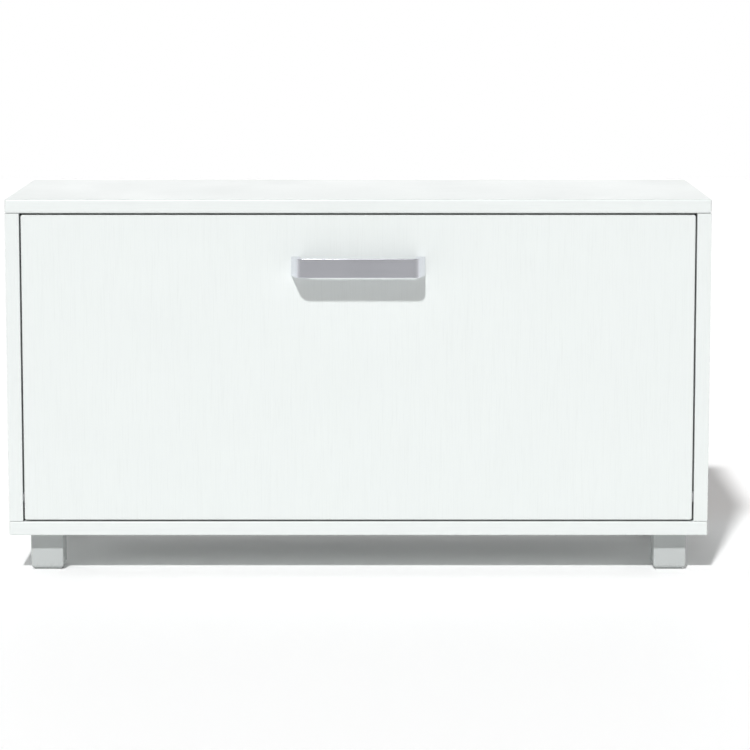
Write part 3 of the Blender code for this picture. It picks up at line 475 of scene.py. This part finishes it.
def make_screw(node, body, into, material):
    """A pan-head screw with a cross recess, in the place of its plain CAD node."""
    low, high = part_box(node)
    into = Vector(into)
    axis = max(range(3), key=lambda number: abs(into[number]))
    across = (axis + 1) % 3
    head = (high[across] - low[across]) / 2
    dome = DOME_SHARE * head
    total = high[axis] - low[axis]
    shank = SHANK_SHARE * head
    profile = [
        (head * math.cos(angle), dome * math.sin(angle))
        for angle in (math.radians(90.0 - 90.0 * step / DOME_STEPS) for step in range(DOME_STEPS))]
    profile[0] = (0.0, dome)
    profile += [(head, 0.12 * dome), (head * 0.97, 0.0)]
    profile += thread(shank, total - dome)
    bm = bmesh.new()
    turn(bm, profile, SCREW_STEPS)
    piece = new_piece("fine_" + node, bm, material, body, SCREW_SHARP_ANGLE)
    recess = bmesh.new()
    for reach, width in ((CROSS_REACH, CROSS_WIDTH), (CROSS_WIDTH, CROSS_REACH)):
        for vert in bmesh.ops.create_cube(recess, size=2.0)["verts"]:
            upper = vert.co.z > 0.0
            taper = 1.0 if upper else CROSS_TAPER
            vert.co.x *= head * reach * taper
            vert.co.y *= head * width * taper
            vert.co.z = dome * (CROSS_TOP if upper else CROSS_FLOOR)
    carve(piece, recess)
    centre = (low + high) / 2
    start = centre.copy()
    start[axis] = low[axis] + dome if into[axis] > 0 else high[axis] - dome
    twist = Matrix.Rotation(math.radians(CROSS_TURN), 4, "Z")
    aim = into.to_track_quat("-Z", "Y").to_matrix().to_4x4()
    piece.data.transform(Matrix.Translation(start) @ aim @ twist)
    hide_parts(node)


def make_screws(material):
    """A finer screw in the place of each of the bench's twelve."""
    for node in nodes_named("bracket_screw", "handle_screw"):
        make_screw(node, FLAP, (0.0, -1.0, 0.0), material)
    for node in nodes_named("catch_screw", "foot_screw"):
        make_screw(node, CARCASS, (0.0, 0.0, 1.0), material)


def dress(nodes, material):
    """Give CAD nodes a material, and shade their round parts smooth."""
    for name in nodes:
        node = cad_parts[name]
        node.data.materials.clear()
        node.data.materials.append(material)
        node.data.shade_smooth()
        node.data.set_sharp_from_angle(angle=NODE_SHARP_ANGLE)
        flats = node.modifiers.new("flat_faces_stay_flat", "WEIGHTED_NORMAL")
        flats.keep_sharp = True
        flats.weight = 100


def nodes_named(*starts):
    """CAD nodes whose names start with one of these words."""
    return [name for name in sorted(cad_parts) if name.startswith(starts)]


def dress_boards():
    """Melamine on every board, each with the glue lines and raw edges that its place gives it."""
    front_line = ("Y", FRONT_Y + EDGE_BAND)
    side_lines = [("X", SIDE_X - EDGE_BAND), ("X", -SIDE_X + EDGE_BAND)]
    front, seat = ("Y", FRONT_Y), ("Z", SEAT_Z)
    sides = [("X", -SIDE_X), ("X", SIDE_X)]
    seat_edges = [(front, seat), *((side, seat) for side in sides), *((side, front) for side in sides)]
    top = melamine("melamine_top", WHITE, "X", [front_line, *side_lines], REAR_Y, seat_edges)
    dress(["top_panel"], top)
    low_edges = [(front, ("Z", BASE_Z)), *((side, front) for side in sides)]
    base = melamine("melamine_base", WHITE, "X", [front_line, *side_lines], REAR_Y, low_edges)
    dress(["bottom_panel"], base)
    side_edges = [(side, front) for side in sides]
    upright = melamine("melamine_upright", WHITE, "Z", [front_line], REAR_Y, side_edges)
    dress(["left_side_panel", "right_side_panel"], upright)
    ends = [("X", FLAP_LOW.x), ("X", FLAP_HIGH.x), ("Z", FLAP_LOW.z), ("Z", FLAP_HIGH.z)]
    flap_lines = [
        ("X", FLAP_HIGH.x - EDGE_BAND), ("X", FLAP_LOW.x + EDGE_BAND),
        ("Z", FLAP_HIGH.z - EDGE_BAND), ("Z", FLAP_LOW.z + EDGE_BAND)]
    flap = melamine("melamine_flap", WHITE, "Z", flap_lines, None, [(end, front) for end in ends])
    dress(["flap_panel"], flap)
    dress(
        ["rear_rail", "lower_shoe_board", "upper_shoe_board", "shoe_fence"],
        melamine("melamine_inside", INSIDE_WHITE, "X"))
    dress(["back_panel"], hardboard())


def dress_hardware():
    """Metal, plastic and wood on everything but the boards and the handle."""
    steel = cast_metal("zinc_plate", ZINC, 0.34)
    make_screws(steel)
    dress(nodes_named("cam_bolt", "pivot_pin", "stop_peg", "strike_plate"), steel)
    dress(nodes_named("cam_nut"), cast_metal("die_cast_zinc", DIE_CAST, 0.5))
    foot = moulded_plastic("foot_plastic", FOOT_GREY, 0.45, wear=(0.0, 0.014))
    dress(nodes_named("foot_front", "foot_rear"), foot)
    dress(nodes_named("glide"), foot)
    white = moulded_plastic("white_plastic", PLASTIC_WHITE, 0.42)
    dress(nodes_named("swing_bracket", "catch_housing"), white)
    dress(nodes_named("pivot_bush"), moulded_plastic("grey_nylon", NYLON_GREY, 0.5))
    sintered = moulded_plastic("sintered_magnet", MAGNET_BLACK, 0.6, 2500.0, 0.00006, 0.3)
    dress(nodes_named("catch_magnet"), sintered)
    dress(nodes_named("rail_dowel"), beech_wood())


# ---------------------------------------------------------------- studio and camera
FLOOR_SIZE = 12.0
FLOOR_PALE = (0.99, 0.99, 0.99)
FLOOR_DULL = (0.98, 0.98, 0.98)
KEY_TRAVEL = Vector((0.225, 1.0, -1.0))   # direction in which the key light travels
KEY_STRENGTH = 2.86
KEY_ANGLE = math.radians(3.5)
SKY_FRONT, SKY_BACK = 0.34, 2.28   # glow of the room in front of the bench, and of the backdrop behind it
SKY_TOP = 0.1                      # share of that glow that is left overhead
SURROUND = 1.0                     # below the horizon, past the end of the floor


def make_floor():
    """A plain pale floor."""
    mesh = bpy.data.meshes.new("studio_floor")
    half = FLOOR_SIZE / 2
    corners = [(-half, -half, 0.0), (half, -half, 0.0), (half, half, 0.0), (-half, half, 0.0)]
    mesh.from_pydata(corners, [], [(0, 1, 2, 3)])
    finish = Finish("studio_floor", 0.6)
    finish.shader.inputs["Specular IOR Level"].default_value = 0.1
    cloud = finish.noise(2.0, 3.0)
    finish.colour(finish.blend(cloud, FLOOR_PALE, FLOOR_DULL))
    mesh.materials.append(finish.material)
    floor = bpy.data.objects.new("studio_floor", mesh)
    bpy.context.scene.collection.objects.link(floor)


def make_sky():
    """A studio with a bright backdrop behind, a dim room in front and white below the horizon."""
    world = bpy.data.worlds.new("studio")
    bpy.context.scene.world = world
    world.use_nodes = True
    tree = world.node_tree
    split = tree.nodes.new("ShaderNodeSeparateXYZ")
    tree.links.new(tree.nodes.new("ShaderNodeTexCoord").outputs["Generated"], split.inputs["Vector"])

    def ramp(value, low, high, to_low, to_high):
        node = tree.nodes.new("ShaderNodeMapRange")
        tree.links.new(value, node.inputs["Value"])
        for key, number in (
                ("From Min", low), ("From Max", high), ("To Min", to_low), ("To Max", to_high)):
            node.inputs[key].default_value = number
        return node.outputs["Result"]

    def product(first, second):
        node = tree.nodes.new("ShaderNodeMath")
        node.operation = "MULTIPLY"
        tree.links.new(first, node.inputs[0])
        tree.links.new(second, node.inputs[1])
        return node.outputs["Value"]

    backward = ramp(split.outputs["Y"], -1.0, 1.0, 0.0, 1.0)
    around = ramp(product(backward, backward), 0.0, 1.0, SKY_FRONT, SKY_BACK)
    overhead = ramp(split.outputs["Z"], 0.0, 1.0, 1.0, SKY_TOP)
    choose = tree.nodes.new("ShaderNodeMix")
    tree.links.new(ramp(split.outputs["Z"], -0.001, 0.001, 0.0, 1.0), choose.inputs["Factor"])
    choose.inputs["A"].default_value = SURROUND
    tree.links.new(product(around, overhead), choose.inputs["B"])
    background = tree.nodes["Background"]
    background.inputs["Color"].default_value = (1.0, 1.0, 1.0, 1.0)
    tree.links.new(choose.outputs["Result"], background.inputs["Strength"])


def make_key_light():
    """One distant lamp with soft-edged shadows, high in front and a little to the left."""
    lamp = bpy.data.lights.new("key_light", "SUN")
    lamp.energy = KEY_STRENGTH
    lamp.angle = KEY_ANGLE
    key = bpy.data.objects.new("key_light", lamp)
    key.rotation_euler = KEY_TRAVEL.to_track_quat("-Z", "Y").to_euler()
    bpy.context.scene.collection.objects.link(key)


CAMERA_PLACE = Vector((0.0171, -3.5638, 0.7073))
CAMERA_PITCH = math.radians(7.227)    # below the horizon
CAMERA_YAW = math.radians(0.033)
CAMERA_LENS = 145.94
CAMERA_SHIFT = -0.05


def make_camera():
    """A long lens a little above the seat, almost square to the front."""
    lens = bpy.data.cameras.new("camera")
    lens.lens = CAMERA_LENS
    lens.sensor_width = 36.0
    lens.shift_y = CAMERA_SHIFT
    camera = bpy.data.objects.new("camera", lens)
    camera.location = CAMERA_PLACE
    camera.rotation_euler = (math.pi / 2 - CAMERA_PITCH, 0.0, -CAMERA_YAW)
    bpy.context.scene.collection.objects.link(camera)
    bpy.context.scene.camera = camera


make_camera()
dress_boards()
dress_hardware()
make_handle(brushed_metal("satin_silver", SILVER, 0.24, (0.02, 1.0, 1.0), 0.02))
make_floor()
make_sky()
make_key_light()
bpy.context.scene.view_settings.view_transform = "Standard"
